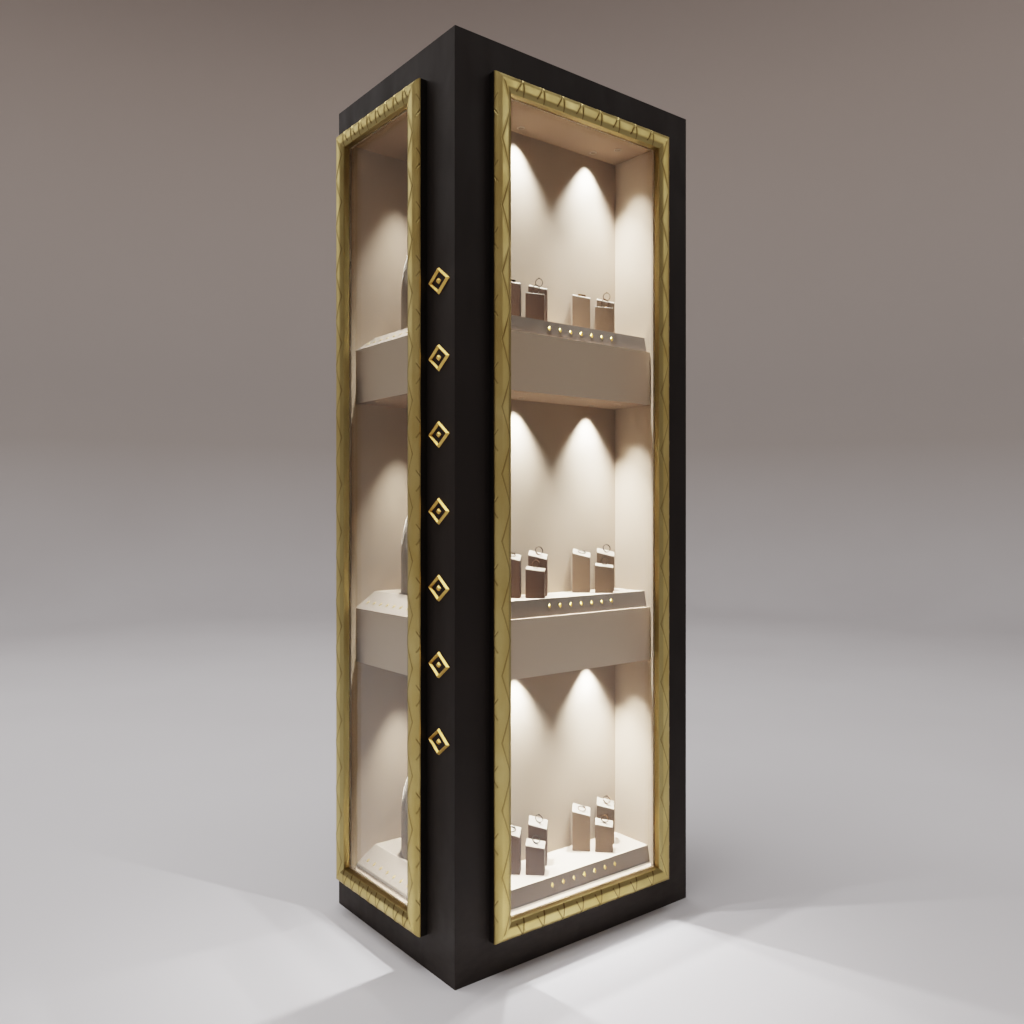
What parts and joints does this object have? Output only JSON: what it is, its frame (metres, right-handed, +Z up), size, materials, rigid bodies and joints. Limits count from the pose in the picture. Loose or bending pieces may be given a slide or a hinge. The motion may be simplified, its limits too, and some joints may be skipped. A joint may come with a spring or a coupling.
{
  "type": "glass display showcase",
  "caption": "Tall corner-glazed jewellery showcase: black case, two gold-framed hinged glass doors, lit tiers with plinths, ring stands and necklace busts.",
  "frame": {"origin": "middle of the case's footprint, on the floor", "axes": "+Z up, the front window faces -Y and the side window faces -X"},
  "size_m": [0.7491, 0.5664, 2],
  "materials": {
    "case_lacquer": "satin black lacquer on board",
    "door_lacquer": "satin black lacquer on a machined core",
    "gold_trim": "satin antique gold with engraved crossing bands",
    "stud_gold": "polished gold",
    "clear_glass": "clear laminated",
    "gasket": "translucent white glazing strip",
    "wall_lining": "taupe leatherette on board",
    "shelf_lining": "taupe leatherette on board",
    "plinth_lining": "taupe leatherette faces and an off-white top",
    "raw_board": "unfinished board and battens",
    "stand_leather": "brown leatherette",
    "stand_top": "off-white leatherette pad",
    "bust_fabric": "taupe velvet",
    "ring_metal": "polished",
    "spot_metal": "painted satin",
    "spot_lens": "frosted, emissive",
    "hinge_steel": "black",
    "pin_steel": "brushed",
    "lock_chrome": "polished",
    "black_plastic": "moulded",
    "white_plastic": "moulded"
  },
  "bodies": {
    "case": {"front_panel": "case_lacquer", "left_panel": "case_lacquer", "right_panel": "case_lacquer", "top_panel": "case_lacquer", "back_panel": "case_lacquer", "base_board": "raw_board", "frame_battens": "raw_board", "window_reveals": "wall_lining", "right_lining": "wall_lining", "rear_lining": "wall_lining", "front_partition": "wall_lining", "side_partition": "wall_lining", "ceiling_panel": "wall_lining", "floor_deck": "shelf_lining", "lower_shelf_deck": "shelf_lining", "lower_shelf_fascia": "shelf_lining", "lower_shelf_soffit": "shelf_lining", "upper_shelf_deck": "shelf_lining", "upper_shelf_fascia": "shelf_lining", "upper_shelf_soffit": "shelf_lining", "bottom_plinth": "plinth_lining", "middle_plinth": "plinth_lining", "top_plinth": "plinth_lining", "spot_housings": "spot_metal", "spot_lenses": "spot_lens", "led_driver": "white_plastic", "wiring_duct": "white_plastic", "power_inlet": "black_plastic", "ring_stands": "stand_leather", "ring_stand_tops": "stand_top", "display_rings": "ring_metal", "bottom_necklace_bust": "bust_fabric", "middle_necklace_bust": "bust_fabric", "top_necklace_bust": "bust_fabric", "side_studs": "stud_gold", "plinth_studs": "stud_gold", "fixed_hinge_leaves": "hinge_steel", "hinge_pins": "pin_steel"},
    "front_door": {"front_door_core": "door_lacquer", "front_door_glass": "clear_glass", "front_door_gasket": "gasket", "front_trim_left": "gold_trim", "front_trim_right": "gold_trim", "front_trim_top": "gold_trim", "front_trim_bottom": "gold_trim", "front_door_hinge_leaves": "hinge_steel"},
    "side_door": {"side_door_core": "door_lacquer", "side_door_glass": "clear_glass", "side_door_gasket": "gasket", "side_trim_near": "gold_trim", "side_trim_far": "gold_trim", "side_trim_top": "gold_trim", "side_trim_bottom": "gold_trim", "side_door_hinge_leaves": "hinge_steel"},
    "front_lock": {"front_lock_cylinder": "lock_chrome"},
    "side_lock": {"side_lock_cylinder": "lock_chrome"},
    "hatch": {"service_hatch": "case_lacquer", "hatch_hinge_leaves": "hinge_steel"},
    "hatch_cam": {"hatch_lock": "lock_chrome"},
    "power_rocker": {"rocker_switch": "black_plastic"}
  },
  "joints": [
    {"name": "front_door_hinge", "type": "hinge", "parent": "case", "child": "front_door", "pos_m": [0.275, -0.2635, 1], "axis": [0, 0, 1], "range_deg": [0, 100]},
    {"name": "side_door_hinge", "type": "hinge", "parent": "case", "child": "side_door", "pos_m": [-0.3625, 0.2315, 1], "axis": [0, 0, -1], "range_deg": [0, 100]},
    {"name": "front_lock_turn", "type": "hinge", "parent": "front_door", "child": "front_lock", "pos_m": [-0.2105, -0.2685, 0.08], "axis": [0, 0, -1], "range_deg": [0, 90]},
    {"name": "side_lock_turn", "type": "hinge", "parent": "side_door", "child": "side_lock", "pos_m": [-0.3675, -0.093, 0.08], "axis": [0, 0, 1], "range_deg": [0, 90]},
    {"name": "service_hatch_hinge", "type": "hinge", "parent": "case", "child": "hatch", "pos_m": [0.2225, 0.2635, 0.38], "axis": [0, 0, -1], "range_deg": [0, 110]},
    {"name": "hatch_lock_turn", "type": "hinge", "parent": "hatch", "child": "hatch_cam", "pos_m": [-0.02, 0.267, 0.38], "axis": [0, 1, 0], "range_deg": [0, 90]},
    {"name": "rocker_switch_tilt", "type": "hinge", "parent": "case", "child": "power_rocker", "pos_m": [0.285, 0.261, 0.215], "axis": [-1, 0, 0], "range_deg": [0, 16]}
  ]
}
